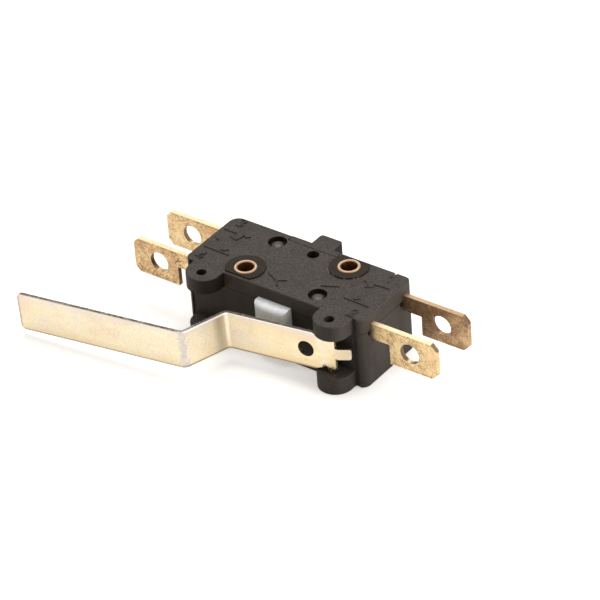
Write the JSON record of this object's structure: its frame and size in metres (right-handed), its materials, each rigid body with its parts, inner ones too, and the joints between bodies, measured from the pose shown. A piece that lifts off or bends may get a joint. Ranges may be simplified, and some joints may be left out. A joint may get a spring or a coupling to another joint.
{
  "type": "micro switch",
  "caption": "Double-break snap-action micro switch in a flat black housing, with a joggled steel hinge lever, a nylon plunger and quick-connect tabs at both ends.",
  "frame": {"origin": "halfway between the two mounting holes, on the underside of the housing", "axes": "+X along the housing from the joggled lever's free end to its hinge end, +Y away from the lever towards the rear lug, +Z along the mounting holes from the underside to the cover"},
  "size_m": [0.0676, 0.0321, 0.0131],
  "materials": {
    "housing_black": "moulded thermoset plastic, satin to matte, finely grained",
    "eyelet_brass": "rolled brass, slightly tarnished",
    "plunger_nylon": "milky bluish-white nylon",
    "spring_steel": "drawn spring steel",
    "lever_steel": "steel strip, yellow zinc plating, lengthwise drawn marks",
    "bridge_copper": "rolled spring copper",
    "contact_silver": "silver alloy, lightly tarnished",
    "terminal_brass": "stamped brass, tarnished and scratched"
  },
  "bodies": {
    "housing": {"base_housing": "housing_black", "cover": "housing_black", "eyelet_left": "eyelet_brass", "eyelet_right": "eyelet_brass", "return_spring": "spring_steel", "terminal_front_left": "terminal_brass", "terminal_front_right": "terminal_brass", "terminal_rear_left": "terminal_brass", "terminal_rear_right": "terminal_brass", "fixed_contact_front_left": "contact_silver", "fixed_contact_front_right": "contact_silver", "fixed_contact_rear_left": "contact_silver", "fixed_contact_rear_right": "contact_silver"},
    "lever": {"lever": "lever_steel"},
    "plunger": {"plunger": "plunger_nylon"},
    "bridge": {"contact_bridge": "bridge_copper", "moving_contact_left": "contact_silver", "moving_contact_right": "contact_silver", "snap_spring_left": "spring_steel", "snap_spring_right": "spring_steel"}
  },
  "joints": [
    {"name": "lever_hinge", "type": "hinge", "parent": "housing", "child": "lever", "pos_m": [0.01217, -0.0086, 0.00635], "axis": [0, 0, -1], "range_deg": [0, 11.3], "stiffness_Nm_per_rad": 0.05, "springref_deg": -5.73},
    {"name": "plunger_slide", "type": "slide", "parent": "housing", "child": "plunger", "axis": [0, 1, 0], "range_m": [0, 0.00106], "deforming": ["return_spring"]},
    {"name": "bridge_slide", "type": "slide", "parent": "housing", "child": "bridge", "axis": [0, 1, 0], "range_m": [0, 0.00076], "deforming": ["snap_spring_left", "snap_spring_right"]}
  ],
  "couplings": [
    {"joint": "plunger_slide", "follows": "lever_hinge", "m_per_rad": 0.0053239},
    {"joint": "bridge_slide", "follows": "lever_hinge", "m_per_rad": 0.0038028}
  ]
}
